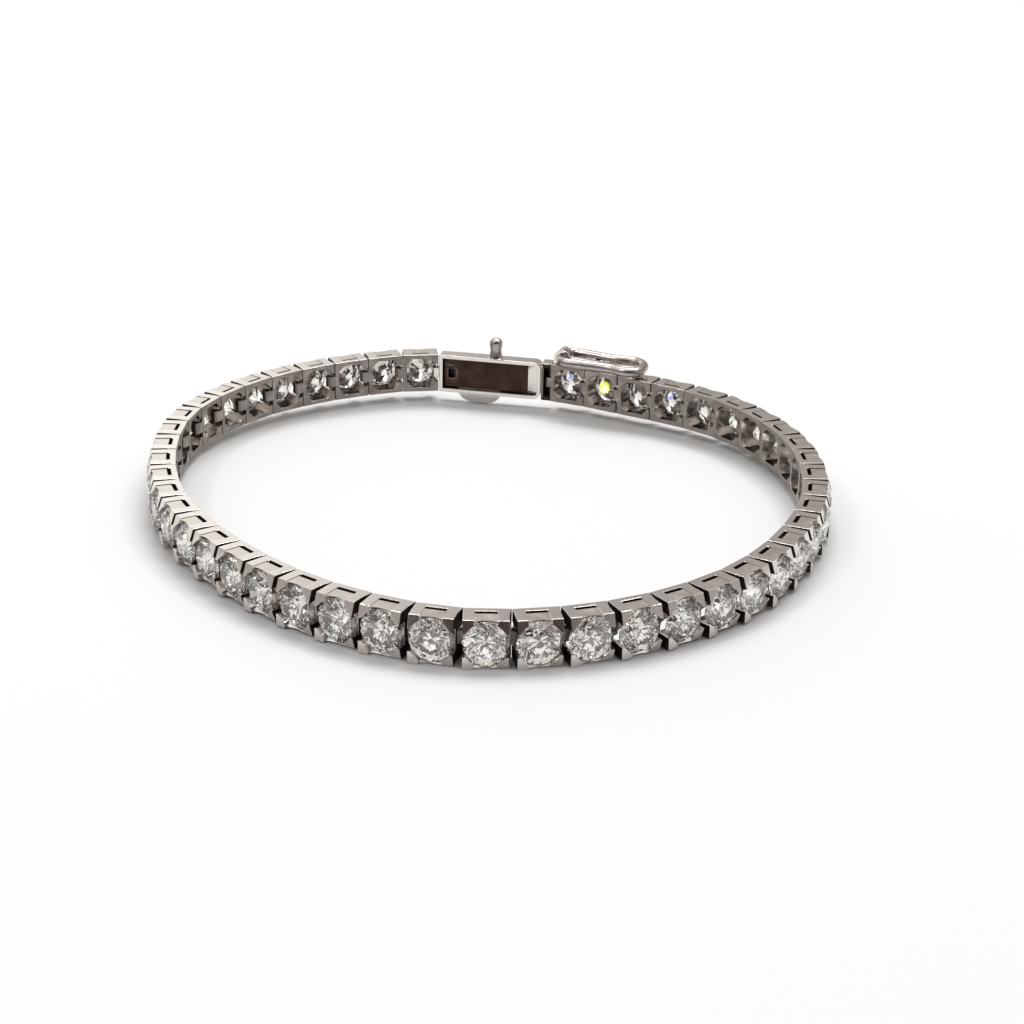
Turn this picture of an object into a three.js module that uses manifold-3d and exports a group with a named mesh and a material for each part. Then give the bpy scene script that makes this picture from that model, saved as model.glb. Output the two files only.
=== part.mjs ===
// Tennis bracelet: a closed chain of box links, each with one round brilliant, joined by a box clasp.
// It lies on its lower edge with the stones facing out, the clasp at the back and the safety catch
// folded open. Millimetres, +X right, +Y away from the viewer, +Z up, origin under its middle.
import * as THREE from "three";
import { mergeVertices } from "three/addons/utils/BufferGeometryUtils.js";
import { ConvexGeometry } from "three/addons/geometries/ConvexGeometry.js";
import Module from "manifold-3d";

// Stones: round brilliants, one to a link.
const stoneDiameter = 3.4;
const crownHeight = 0.52;
const pavilionHeight = 1.46;
const tableDiameter = 1.92;
const culetDepth = 0.5; // wrist face to culet
const stoneSides = 16;

// Links: open-backed boxes with a prong at each corner.
const linkCount = 46;
const stoneOverhang = 0.025; // how far a stone passes each end of its box
const plateMargin = 0.175; // how far the top and bottom plates pass the stone
const plateThickness = 0.4;
const endWall = 0.25;
const prongBite = 0.06; // how far each prong overlaps the girdle
const prongRise = 0.5; // prong tips above the girdle
const slotLength = 1.6;
const slotWidth = 0.33;
const slotDepth = 0.66; // middle of the slot from the wrist face
const scoopClearance = 0.08;
const wallClearance = 0.12;

// Hinges between links: an eye on each link goes round the bar at the end of the next.
const linkGap = 0.27;
const barHeight = 0.3;
const barClearance = 0.11;
const eyeWall = 0.19;
const eyeWidth = 1;
const eyeInset = 0.05; // eye to wrist face
const eyeSeat = 0.05; // how far an eye sinks into the wall that carries it
const eyeCorner = 0.42; // where its corners start, as a share of its radius

// Box clasp: a tray open to the wrist, and a tongue that slides into it.
const claspLength = 11.2;
const claspDepth = 1.5;
const claspWall = 0.35;
const claspCornerRadius = 0.7;
const cheekThickness = 0.4;
const webThickness = 0.2;
const claspSeam = 0.1;
const tongueDepth = 0.45; // wrist face to tongue
const tongueThickness = 0.3;
const tongueClearance = 0.12;
const tabLength = 4.2;
const tabDrop = 1.1;
const tabCentre = 7.2; // along the clasp from its tongue end
const eyeletLength = 1.15;
const eyeletHeight = 1.7;
const eyeletRim = 0.25;
const eyeletSideRim = 0.35; // above and below the hole
const eyeletRise = 0.2;

// Post with a ball head on the upper edge of the tray.
const postCentre = 5.65; // along the clasp from its tongue end
const postHeight = 2;
const postBaseRadius = 0.74;
const postNeckRadius = 0.56;
const postHeadRadius = 0.64;
const postSides = 10;
const postNeck = 0.4; // these four are shares of its height
const postHeadStart = 0.62;
const postHeadEnd = 0.8;
const postShoulder = 0.97;

// Safety catch: a waisted wire loop, hinged in a barrel on the last link.
const catchLength = 8.05;
const catchWidth = 3.4;
const catchWireRadius = 0.45;
const catchCornerRadius = 0.75; // at the hinge
const catchEndRadius = 1.35; // at the far end
const catchWaist = 0.25;
const catchWaistAt = 5; // from the hinge
const catchHingeInset = 0.755; // hinge to the clasp end of the last link
const catchDepth = 1.2; // middle of the loop from the wrist face
const catchSides = 8;
const barrelLength = 1.5;
const barrelWall = 0.3;
const barrelClearance = 0.11;
const barrelSeat = 0.28; // how far the barrel sinks into the link's upper plate
const barrelSides = 12;

// Line of the hinge bars seen from above, from the clasp's left end round the front to its right
// end, chosen by hand as shares of the loop's width. The width itself follows from the chain.
const route = [
  [-0.096, 0.55], [-0.224, 0.516], [-0.385, 0.403], [-0.484, 0.234], [-0.495, 0.037],
  [-0.448, -0.155], [-0.344, -0.324], [-0.201, -0.461], [-0.02, -0.536], [0.174, -0.504],
  [0.336, -0.393], [0.444, -0.227], [0.497, -0.037], [0.482, 0.16], [0.389, 0.333],
  [0.227, 0.445], [0.109, 0.506],
];

// Sizes that follow from those above.
const stoneRadius = stoneDiameter / 2;
const linkLength = stoneDiameter - 2 * stoneOverhang;
const linkHeight = stoneDiameter + 2 * plateMargin;
const pitch = linkLength + linkGap;
const linkStart = -endWall / 2; // every piece is measured along the chain from the middle of its bar
const linkEnd = linkStart + linkLength;
const linkMiddle = linkStart + linkLength / 2;
const eyeBore = Math.hypot(endWall, barHeight) / 2 + barClearance;
const eyeRadius = eyeBore + eyeWall;
const barDepth = eyeRadius + eyeInset;
const windowX = linkLength / 2 - endWall;
const windowY = linkHeight / 2 - plateThickness;
const prongLine = (stoneRadius - prongBite) * Math.SQRT2; // |x| + |y| on the prongs' inner faces
const endOpening = prongLine - windowX; // half the opening between two prongs of one end
const edgeOpening = prongLine - windowY; // half the opening between two prongs of one plate

const pavilionSlope = pavilionHeight / stoneRadius;
const girdleDepth = culetDepth + pavilionHeight;
const prongDepth = girdleDepth + prongRise;
const pavilionDepth = (radius) => culetDepth + radius * pavilionSlope;

const claspPitch = claspLength + linkGap;
const trayEnd = linkStart + claspLength;
const webStart = eyeRadius + barClearance;
const trayStart = webStart + webThickness + claspSeam;
const barrelBore = catchWireRadius + barrelClearance;
const barrelRadius = barrelBore + barrelWall;
const catchLift = barrelRadius - barrelSeat;

const CUT = 5; // how far a cutting tool passes what it cuts
const tolerance = 0.002; // within which flat faces are joined
const nearest = 0.02; // points of the catch's line closer than this are one

const wasm = await Module();
wasm.setup();

// A closed geometry as a solid that can be joined and cut.
function solid(geometry) {
  geometry.deleteAttribute("normal");
  geometry.deleteAttribute("uv");
  const merged = mergeVertices(geometry);
  const vertProperties = Float32Array.from(merged.attributes.position.array);
  const triVerts = Uint32Array.from(merged.index.array);
  return new wasm.Manifold(new wasm.Mesh({ numProp: 3, vertProperties, triVerts }));
}

function geometryOf(body) {
  const mesh = body.asOriginal().simplify(tolerance).getMesh();
  const geometry = new THREE.BufferGeometry();
  geometry.setAttribute("position", new THREE.BufferAttribute(mesh.vertProperties, 3));
  geometry.setIndex(new THREE.BufferAttribute(mesh.triVerts, 1));
  geometry.computeVertexNormals();
  return geometry;
}

function block([x0, x1], [y0, y1], [z0, z1]) {
  const box = new THREE.BoxGeometry(x1 - x0, y1 - y0, z1 - z0);
  return solid(box.translate((x0 + x1) / 2, (y0 + y1) / 2, (z0 + z1) / 2));
}

// An outline in X and Y, extruded outward from the wrist side.
function slab(shape, z0, z1, curveSegments = 4) {
  const options = { depth: z1 - z0, bevelEnabled: false, curveSegments };
  return solid(new THREE.ExtrudeGeometry(shape, options).translate(0, 0, z0));
}

// An outline in X and depth, extruded up and down from the middle of the strip.
function upright(shape, height, curveSegments = 4) {
  const options = { depth: height, bevelEnabled: false, curveSegments };
  const geometry = new THREE.ExtrudeGeometry(shape, options);
  return solid(geometry.rotateX(Math.PI / 2).translate(0, height / 2, 0));
}

function outline(points) {
  return new THREE.Shape(points.map(([x, y]) => new THREE.Vector2(x, y)));
}

function ring(radius, sides, phase, height) {
  return Array.from({ length: sides }, (_, i) => {
    const angle = ((i + phase) * 2 * Math.PI) / sides;
    return new THREE.Vector3(radius * Math.cos(angle), radius * Math.sin(angle), height);
  });
}

// Hinge bars: equal steps of one pitch along the closed curve through the route's points.
const curve = new THREE.CatmullRomCurve3(
  route.map(([x, y]) => new THREE.Vector3(x, y, 0)),
  true,
  "centripetal",
);

function bisect(low, high, isLow) {
  for (let i = 0; i < 40; i += 1) {
    const middle = (low + high) / 2;
    if (isLow(middle)) low = middle;
    else high = middle;
  }
  return (low + high) / 2;
}

function barsFor(width) {
  const bars = [curve.getPoint(0).multiplyScalar(width)];
  const oneLink = 2 / linkCount; // a longer stretch of the curve than one link takes
  let u = 0;
  for (let i = 0; i < linkCount; i += 1) {
    const from = bars[i];
    u = bisect(u, u + oneLink, (v) => curve.getPoint(v % 1).multiplyScalar(width).distanceTo(from) < pitch);
    bars.push(curve.getPoint(u % 1).multiplyScalar(width));
  }
  return bars;
}

// The loop is as wide as it must be for the clasp to close it exactly.
const chainLength = linkCount * pitch + claspPitch;
const loopWidth = bisect(chainLength / 4, chainLength / 2.5, (width) => {
  const bars = barsFor(width);
  return bars[0].distanceTo(bars[linkCount]) < claspPitch;
});
const bars = barsFor(loopWidth);

// A frame that stands at one bar and faces the next: X along the chain, Y up, Z outward.
function frameAt(from, to) {
  const along = to.clone().sub(from).normalize();
  const up = new THREE.Vector3(0, 0, 1);
  const outward = along.clone().cross(up);
  const matrix = new THREE.Matrix4().makeBasis(along, up, outward);
  return matrix.setPosition(from.clone().addScaledVector(outward, -barDepth));
}

// A brilliant has an eight-sided table, a crown, a round girdle and a pavilion down to its culet.
function stone() {
  const tableSides = stoneSides / 2;
  const points = [
    ...ring(tableDiameter / 2, tableSides, 0, girdleDepth + crownHeight),
    ...ring(stoneRadius, stoneSides, 0, girdleDepth),
    new THREE.Vector3(0, 0, culetDepth),
  ];
  return solid(new ConvexGeometry(points).translate(linkMiddle, 0, 0));
}

// The eye reaches from an end wall at wallX to the next bar at barX and goes round it.
function eye(wallX, barX) {
  const root = wallX - eyeSeat;
  const corner = eyeRadius * eyeCorner;
  const shape = outline([
    [root, barDepth - eyeRadius], [barX + corner, barDepth - eyeRadius],
    [barX + eyeRadius, barDepth - corner], [barX + eyeRadius, barDepth + corner],
    [barX + corner, barDepth + eyeRadius], [root, barDepth + eyeRadius],
  ]);
  shape.holes.push(outline(ring(eyeBore, 6, 0, 0).map(({ x, y }) => [barX + x, barDepth + y])));
  return upright(shape, eyeWidth);
}

// The box starts as one extruded frame whose inside corners are the prongs. Between the prongs
// one end is cut down to the bar that takes the neighbour's eye, the other to under the stone.
function setting() {
  const x = [linkStart, linkEnd];
  const frame = outline([
    [x[0], -linkHeight / 2], [x[1], -linkHeight / 2], [x[1], linkHeight / 2], [x[0], linkHeight / 2],
  ]);
  const inside = [
    [windowX, -endOpening], [windowX, endOpening], [edgeOpening, windowY], [-edgeOpening, windowY],
    [-windowX, endOpening], [-windowX, -endOpening], [-edgeOpening, -windowY], [edgeOpening, -windowY],
  ];
  frame.holes.push(outline(inside.map(([px, py]) => [linkMiddle + px, py])));

  const throughPlates = [-CUT, CUT];
  const betweenProngs = [-endOpening, endOpening];
  const barEnd = [x[0] - CUT, linkMiddle - windowX];
  const overBar = block(barEnd, betweenProngs, [barDepth + barHeight / 2, CUT]);
  const underBar = block(barEnd, betweenProngs, [-CUT, barDepth - barHeight / 2]);
  const wallTop = pavilionDepth(windowX) - wallClearance;
  const overWall = block([linkMiddle + windowX, x[1] + CUT], betweenProngs, [wallTop, CUT]);
  const slot = block(
    [linkMiddle - slotLength / 2, linkMiddle + slotLength / 2],
    throughPlates,
    [slotDepth - slotWidth / 2, slotDepth + slotWidth / 2],
  );

  return slab(frame, 0, prongDepth)
    .subtract(overBar)
    .subtract(underBar)
    .subtract(overWall)
    .subtract(slot)
    .subtract(upright(scoop(), 2 * CUT))
    .add(eye(linkEnd, pitch));
}

// Between its prongs each plate is scooped to just under the stone, so that the girdle shows.
function scoop() {
  const steps = [-1, 0, 1];
  const floor = steps.map((share) => {
    const x = share * edgeOpening;
    return [linkMiddle + x, pavilionDepth(Math.hypot(x, windowY)) - scoopClearance];
  });
  return outline([
    ...floor, [linkMiddle + edgeOpening, prongDepth + CUT], [linkMiddle - edgeOpening, prongDepth + CUT],
  ]);
}

// The catch turns in a barrel on the last link. The barrel is turned by half the bend between the
// last link and the clasp, and the loop is skewed by as much, so that it lies along the links
// when open and along the clasp when closed.
const lastWay = bars[linkCount].clone().sub(bars[linkCount - 1]);
const claspWay = bars[0].clone().sub(bars[linkCount]);
const claspBend = Math.atan2(lastWay.clone().cross(claspWay).z, lastWay.dot(claspWay));
const catchFrame = new THREE.Matrix4()
  .makeTranslation(linkEnd - catchHingeInset, linkHeight / 2 + catchLift, catchDepth)
  .multiply(new THREE.Matrix4().makeRotationY(claspBend / 2));

function barrel() {
  const tube = new THREE.Shape();
  tube.absarc(0, 0, barrelRadius, 0, 2 * Math.PI, false);
  const bore = new THREE.Path();
  bore.absarc(0, 0, barrelBore, 0, 2 * Math.PI, true);
  tube.holes.push(bore);
  const options = { depth: barrelLength, bevelEnabled: false, curveSegments: barrelSides / 2 };
  const geometry = new THREE.ExtrudeGeometry(tube, options).translate(0, 0, -barrelLength / 2);
  return solid(geometry.applyMatrix4(catchFrame));
}

// The tray runs from the seam to the left end, with rounded corners at the seam.
function trayOutline(inset) {
  const half = linkHeight / 2 - inset;
  const x0 = trayStart + inset;
  const x1 = trayEnd - inset;
  const r = claspCornerRadius;
  const shape = new THREE.Shape();
  shape.moveTo(x1, -half);
  shape.lineTo(x1, half);
  shape.lineTo(x0 + r, half);
  shape.absarc(x0 + r, half - r, r, Math.PI / 2, Math.PI, false);
  shape.absarc(x0 + r, -half + r, r, Math.PI, 1.5 * Math.PI, false);
  return shape;
}

function post() {
  const top = linkHeight / 2;
  const profile = [
    [0, -claspWall / 2], [postBaseRadius, -claspWall / 2], [postNeckRadius, postNeck * postHeight],
    [postHeadRadius, postHeadStart * postHeight], [postHeadRadius, postHeadEnd * postHeight],
    [postHeadRadius / 2, postShoulder * postHeight], [0, postHeight],
  ];
  const points = profile.map(([r, y]) => new THREE.Vector2(r, y));
  const lathe = new THREE.LatheGeometry(points, postSides);
  return solid(lathe.translate(linkStart + postCentre, top, claspDepth / 2));
}

const tongueHalf = linkHeight / 2 - claspWall - tongueClearance;
const tongueBack = tongueDepth + tongueThickness;
const tabMiddle = linkStart + tabCentre;
const tabEnd = tabMiddle + tabLength / 2;

// The tray is open to the wrist. The tongue enters through its seam end, and the tab runs in a
// slot along the lower wall.
function tray() {
  const runway = [tongueDepth - tongueClearance, tongueBack + tongueClearance];
  const entrance = block(
    [trayStart - CUT, trayStart + claspCornerRadius + claspWall],
    [-tongueHalf - tongueClearance, tongueHalf + tongueClearance],
    runway,
  );
  const throughLowerWall = [-CUT, -linkHeight / 2 + claspWall];
  const tabSlot = block([trayStart - CUT, tabEnd + tongueClearance], throughLowerWall, runway);
  return slab(trayOutline(0), 0, claspDepth)
    .subtract(slab(trayOutline(claspWall), -CUT, claspDepth - claspWall))
    .subtract(entrance)
    .subtract(tabSlot)
    .add(post())
    .add(eye(trayEnd, claspPitch));
}

// The tongue's head is a fork with a bar for the last link's eye. Its blade ends in a square-holed
// eyelet, and its half-moon release tab hangs below the strip.
function tongue() {
  const bladeEnd = trayEnd - claspWall - tongueClearance;
  const height = [-linkHeight / 2, linkHeight / 2];
  const fork = [height[0] + cheekThickness, height[1] - cheekThickness];
  const head = block([linkStart, webStart + webThickness], height, [0, claspDepth])
    .subtract(block([linkStart - CUT, webStart], fork, [-CUT, CUT]));
  const barDepths = [barDepth - barHeight / 2, barDepth + barHeight / 2];
  const bar = block([-endWall / 2, endWall / 2], height, barDepths);
  const blade = block([webStart, bladeEnd], [-tongueHalf, tongueHalf], [tongueDepth, tongueBack]);

  const tab = new THREE.Shape();
  tab.moveTo(tabEnd, -tongueHalf + tongueClearance);
  tab.lineTo(tabEnd - tabLength, -tongueHalf + tongueClearance);
  tab.lineTo(tabEnd - tabLength, -linkHeight / 2);
  tab.absellipse(tabMiddle, -linkHeight / 2, tabLength / 2, tabDrop, Math.PI, 2 * Math.PI, false, 0);

  const eyeletEnd = bladeEnd - tongueClearance;
  const eyeletHalf = eyeletHeight / 2;
  const eyelet = new THREE.Shape();
  eyelet.moveTo(eyeletEnd, -eyeletHalf);
  eyelet.lineTo(eyeletEnd, eyeletHalf);
  const eyeletMiddle = eyeletEnd - eyeletLength / 2;
  eyelet.absellipse(eyeletMiddle, 0, eyeletLength / 2, eyeletHalf, Math.PI / 2, 1.5 * Math.PI, false, 0);
  const hole = block(
    [eyeletEnd - eyeletLength + eyeletRim, eyeletEnd - eyeletRim],
    [-eyeletHalf + eyeletSideRim, eyeletHalf - eyeletSideRim],
    [-CUT, CUT],
  );
  return head
    .add(blade)
    .add(slab(tab, tongueDepth, tongueBack, 4))
    .add(slab(eyelet, tongueDepth - eyeletRise, tongueBack, 3))
    .subtract(hole)
    .add(bar);
}

// Centre line of the catch in its own frame: the hinge bar at X = 0 and the loop towards -X.
function catchLine() {
  const half = catchWidth / 2;
  const r = catchCornerRadius;
  const end = catchEndRadius;
  const endX = -catchLength + end;
  const waist = half - catchWaist;
  const line = new THREE.Path();
  line.moveTo(0, -half + r);
  line.lineTo(0, half - r);
  line.absarc(-r, half - r, r, 0, Math.PI / 2, false);
  line.splineThru([new THREE.Vector2(-catchWaistAt, waist), new THREE.Vector2(endX, half)]);
  line.absarc(endX, half - end, end, Math.PI / 2, Math.PI, false);
  line.absarc(endX, -half + end, end, Math.PI, 1.5 * Math.PI, false);
  line.splineThru([new THREE.Vector2(-catchWaistAt, -waist), new THREE.Vector2(-r, -half)]);
  line.absarc(-r, -half + r, r, 1.5 * Math.PI, 2 * Math.PI, false);
  const points = line.getPoints(2);
  const distinct = points.filter((point, i) => point.distanceTo(points.at(i - 1)) > nearest);
  return distinct.map(({ x, y }) => new THREE.Vector2(x, y + x * Math.tan(claspBend / 2)));
}

// A wire round a closed flat line: a torus whose rings are moved onto the line.
function safetyCatch() {
  const line = catchLine();
  const steps = line.length;
  const torus = new THREE.TorusGeometry(catchWidth, catchWireRadius, catchSides, steps);
  const position = torus.attributes.position;
  for (let side = 0; side <= catchSides; side += 1) {
    const turn = ((side % catchSides) * 2 * Math.PI) / catchSides;
    for (let step = 0; step <= steps; step += 1) {
      const here = line[step % steps];
      const before = line[(step + steps - 1) % steps];
      const after = line[(step + 1) % steps];
      const along = after.clone().sub(before).normalize();
      const reach = catchWireRadius * Math.cos(turn);
      const x = here.x - along.y * reach;
      const z = here.y + along.x * reach;
      position.setXYZ(side * (steps + 1) + step, x, catchWireRadius * Math.sin(turn), z);
    }
  }
  return solid(torus);
}

const metal = { color: 0xd9d5cf, metalness: 1, roughness: 0.18 };

function piece(name, body) {
  const mesh = new THREE.Mesh(geometryOf(body), new THREE.MeshStandardMaterial(metal));
  mesh.name = name;
  return mesh;
}

function placed(mesh, matrix) {
  matrix.decompose(mesh.position, mesh.quaternion, mesh.scale);
  return mesh;
}

const bracelet = new THREE.Group();
const claspMatrix = frameAt(bars[linkCount], bars[0]);
const linkMatrices = bars.slice(0, linkCount).map((from, i) => frameAt(from, bars[i + 1]));

const stoneLink = setting().add(stone());
linkMatrices.forEach((matrix, i) => {
  const isLast = i === linkCount - 1;
  const name = `stone_link_${String(i + 1).padStart(2, "0")}`;
  bracelet.add(placed(piece(name, isLast ? stoneLink.add(barrel()) : stoneLink), matrix));
});
bracelet.add(placed(piece("clasp_box", tray()), claspMatrix));
bracelet.add(placed(piece("clasp_tongue", tongue()), claspMatrix));
const catchMatrix = linkMatrices[linkCount - 1].clone().multiply(catchFrame);
bracelet.add(placed(piece("safety_catch", safetyCatch()), catchMatrix));

// It rests on the release tab at the back and on the links at the front.
const tabTip = new THREE.Vector3(tabMiddle, 0, tongueDepth).applyMatrix4(claspMatrix);
const frontEdge = Math.min(
  ...linkMatrices.map((matrix) => new THREE.Vector3(linkMiddle, 0, prongDepth).applyMatrix4(matrix).y),
);
bracelet.rotation.x = Math.atan2(tabDrop, tabTip.y - frontEdge);

const root = new THREE.Group();
root.add(bracelet);
const bounds = new THREE.Box3().setFromObject(root, true);
const middle = bounds.getCenter(new THREE.Vector3());
root.position.set(-middle.x, -middle.y, -bounds.min.z);
root.updateMatrixWorld(true);

export default root;
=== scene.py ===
import math

import bpy
from mathutils import Matrix, Vector


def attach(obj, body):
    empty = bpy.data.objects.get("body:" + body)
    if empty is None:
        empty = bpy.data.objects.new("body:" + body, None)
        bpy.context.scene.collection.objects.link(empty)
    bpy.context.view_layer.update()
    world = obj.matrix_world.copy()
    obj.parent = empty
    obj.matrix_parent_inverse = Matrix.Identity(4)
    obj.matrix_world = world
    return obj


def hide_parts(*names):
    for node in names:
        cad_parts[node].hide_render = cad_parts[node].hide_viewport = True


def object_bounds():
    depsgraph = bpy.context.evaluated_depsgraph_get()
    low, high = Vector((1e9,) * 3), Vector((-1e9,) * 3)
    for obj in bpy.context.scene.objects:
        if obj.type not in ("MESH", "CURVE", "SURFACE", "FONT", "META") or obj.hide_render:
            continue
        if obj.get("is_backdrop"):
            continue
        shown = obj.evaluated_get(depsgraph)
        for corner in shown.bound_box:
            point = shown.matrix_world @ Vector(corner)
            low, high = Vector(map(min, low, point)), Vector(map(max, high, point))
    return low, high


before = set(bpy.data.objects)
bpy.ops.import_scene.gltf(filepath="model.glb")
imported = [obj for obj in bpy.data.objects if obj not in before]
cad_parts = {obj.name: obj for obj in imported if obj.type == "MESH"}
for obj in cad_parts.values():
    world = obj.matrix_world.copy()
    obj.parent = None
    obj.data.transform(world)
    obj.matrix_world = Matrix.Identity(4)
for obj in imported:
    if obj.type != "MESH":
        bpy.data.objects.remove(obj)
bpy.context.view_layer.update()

# The chain's line. The links hang on hinge bars at equal steps along a closed curve, seen from
# above, from the clasp's left end round the front to its right end. Every piece is modelled in
# millimetres from the middle of its own bar: X along the chain, Y up, Z out from the wrist.
MM = 0.001
LINK_COUNT = 46
PITCH = 3.62
BAR_DEPTH = 0.5453
LOOP_WIDTH = 54.7755
LOOP_TILT = 0.018213394
LOOP_AT = (-0.028872, -0.379312, 2.444351)
HALVINGS = 40
ROUTE = [
    (-0.096, 0.55), (-0.224, 0.516), (-0.385, 0.403), (-0.484, 0.234), (-0.495, 0.037),
    (-0.448, -0.155), (-0.344, -0.324), (-0.201, -0.461), (-0.02, -0.536), (0.174, -0.504),
    (0.336, -0.393), (0.444, -0.227), (0.497, -0.037), (0.482, 0.16), (0.389, 0.333),
    (0.227, 0.445), (0.109, 0.506),
]


def on_route(u):
    """Point at share u of the closed centripetal curve through the route."""
    count = len(ROUTE)
    first = math.floor(u * count)
    w = u * count - first
    p0, p1, p2, p3 = [Vector((*ROUTE[(first + k) % count], 0)) * LOOP_WIDTH for k in (-1, 0, 1, 2)]
    d0, d1, d2 = [math.sqrt((b - a).length) for a, b in ((p0, p1), (p1, p2), (p2, p3))]
    t1 = ((p1 - p0) / d0 - (p2 - p0) / (d0 + d1) + (p2 - p1) / d1) * d1
    t2 = ((p2 - p1) / d1 - (p3 - p1) / (d1 + d2) + (p3 - p2) / d2) * d1
    cubic = 2 * p1 - 2 * p2 + t1 + t2
    square = -3 * p1 + 3 * p2 - 2 * t1 - t2
    return p1 + t1 * w + square * w * w + cubic * w ** 3


bars = [on_route(0)]
share = 0.0
for _ in range(LINK_COUNT):
    low, high = share, share + 2 / LINK_COUNT
    for _ in range(HALVINGS):
        share = (low + high) / 2
        if (on_route(share % 1) - bars[-1]).length < PITCH:
            low = share
        else:
            high = share
    bars.append(on_route(share % 1))

laid_down = Matrix.Scale(MM, 4) @ Matrix.Translation(LOOP_AT) @ Matrix.Rotation(LOOP_TILT, 4, "X")


def frame_at(start, end):
    """From a piece's own millimetres to the bracelet as it lies, in metres."""
    along = (end - start).normalized()
    up = Vector((0, 0, 1))
    outward = along.cross(up)
    axes = Matrix((along, up, outward)).transposed().to_4x4()
    return laid_down @ Matrix.Translation(start - outward * BAR_DEPTH) @ axes


link_frames = [frame_at(bars[i], bars[i + 1]) for i in range(LINK_COUNT)]
clasp_frame = frame_at(bars[-1], bars[0])

# White gold, rhodium-plated and polished, as the links and the clasp have it. It is worn: fine
# scratches run in all directions, and cloudy patches have lost a little of their gloss.
GOLD = (0.80, 0.765, 0.735, 1)
GOLD_WORN = (0.68, 0.64, 0.61, 1)
GOLD_ROUGHNESS = 0.09
CLOUDS_PER_METRE = 900
CLOUD_DETAIL = 4
CLOUD_LOW = 0.3
CLOUD_HIGH = 0.7
CLOUD_DULLS = 2.2
SCRATCHES_PER_METRE = 5200
SCRATCH_DETAIL = 3
SCRATCH_WANDER = 1.5
SCRATCH_STRENGTH = 0.12
SCRATCH_DEPTH = 0.00002
MIX_SHARE, MIX_FROM, MIX_TO, MIX_RESULT = 0, 6, 7, 2


def polished_gold(name, colour, worn, roughness):
    """Gold that turns from its colour to the worn one in clouds, under fine scratches."""
    material = bpy.data.materials.new(name)
    material.use_nodes = True
    nodes, links = material.node_tree.nodes, material.node_tree.links
    shader = nodes["Principled BSDF"]
    shader.inputs["Metallic"].default_value = 1
    place = nodes.new("ShaderNodeTexCoord")
    clouds = nodes.new("ShaderNodeTexNoise")
    clouds.inputs["Scale"].default_value = CLOUDS_PER_METRE
    clouds.inputs["Detail"].default_value = CLOUD_DETAIL
    tint = nodes.new("ShaderNodeMix")
    tint.data_type = "RGBA"
    tint.inputs[MIX_FROM].default_value = colour
    tint.inputs[MIX_TO].default_value = worn
    gloss = nodes.new("ShaderNodeMapRange")
    gloss.inputs["From Min"].default_value = CLOUD_LOW
    gloss.inputs["From Max"].default_value = CLOUD_HIGH
    gloss.inputs["To Min"].default_value = roughness
    gloss.inputs["To Max"].default_value = roughness * CLOUD_DULLS
    scratches = nodes.new("ShaderNodeTexNoise")
    scratches.inputs["Scale"].default_value = SCRATCHES_PER_METRE
    scratches.inputs["Detail"].default_value = SCRATCH_DETAIL
    scratches.inputs["Distortion"].default_value = SCRATCH_WANDER
    bump = nodes.new("ShaderNodeBump")
    bump.inputs["Strength"].default_value = SCRATCH_STRENGTH
    bump.inputs["Distance"].default_value = SCRATCH_DEPTH
    links.new(place.outputs["Object"], clouds.inputs["Vector"])
    links.new(place.outputs["Object"], scratches.inputs["Vector"])
    links.new(clouds.outputs["Fac"], tint.inputs[MIX_SHARE])
    links.new(clouds.outputs["Fac"], gloss.inputs["Value"])
    links.new(tint.outputs[MIX_RESULT], shader.inputs["Base Color"])
    links.new(gloss.outputs["Result"], shader.inputs["Roughness"])
    links.new(scratches.outputs["Fac"], bump.inputs["Height"])
    links.new(bump.outputs["Normal"], shader.inputs["Normal"])
    return material


gold = polished_gold("white_gold_polished", GOLD, GOLD_WORN, GOLD_ROUGHNESS)

# The setting of one link is cast: a square box with a window under the stone, slots in its
# plates, four sloping prongs, an end bar, and an eye round the bar of the next link. Its outside
# is polished, and the panels between the prongs are filed a little lower and left brushed.
END_WALL = 0.25
LINK_START = -END_WALL / 2
LINK_LENGTH = 3.35
LINK_END = LINK_START + LINK_LENGTH
LINK_MIDDLE = LINK_START + LINK_LENGTH / 2
LINK_HALF_HEIGHT = 1.875
PLATE = 0.4
WINDOW_X = LINK_LENGTH / 2 - END_WALL
WINDOW_Y = LINK_HALF_HEIGHT - PLATE
END_OPENING = 0.894
EDGE_OPENING = 0.844
PRONG_DEPTH = 2.46
PRONG_SLOPE_FROM = 0.85
PRONG_DROP = 0.36
STONE_RADIUS = 1.7
CULET_DEPTH = 0.32
GIRDLE_DEPTH = 1.96
SEAT_RADIUS = 1.64
PRONG_INNER_RADIUS = 1.72
BAR_HEIGHT = 0.3
EYE_RADIUS = 0.495
EYE_BORE = 0.29
EYE_WIDTH = 1
WALL_TOP = 1.604
SLOT_LENGTH = 1.6
SLOT_WIDTH = 0.33
SLOT_DEPTH = 0.66
PANEL_DROP = 0.045
LIP = 0.15
LIP_FROM = 0.56
LIP_DEPTH = 1.3
SCOOP_UNDER = 0.08
SCOOP_TOP = 4
EYE_SIDES = 28
BORE_SIDES = 24
SEAT_SIDES = 96
LINK_EDGE = 0.035
CUT = 5
OVERRUN = 1
OVERLAP = 0.05
NEAR = 0.02
HAIR = 0.01
POINT = 0.001
MERGE = 0.004
LEVEL_ANGLE = math.radians(1)
ROUNDED_ANGLE = math.radians(17)
SMOOTH_ANGLE = math.radians(40)
FACING = 0.9
END_FACING = 0.85
WALL_FACING = 0.5
# Near-black gold: painted shade in the gaps between links, in the slots, on the tray's floor and inside the
# fork.
RECESS_SHADE_GOLD = (0.05, 0.036, 0.03, 1)
RECESS_SHADE_WORN = (0.085, 0.064, 0.055, 1)
RECESS_SHADE_ROUGHNESS = 0.4
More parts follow.
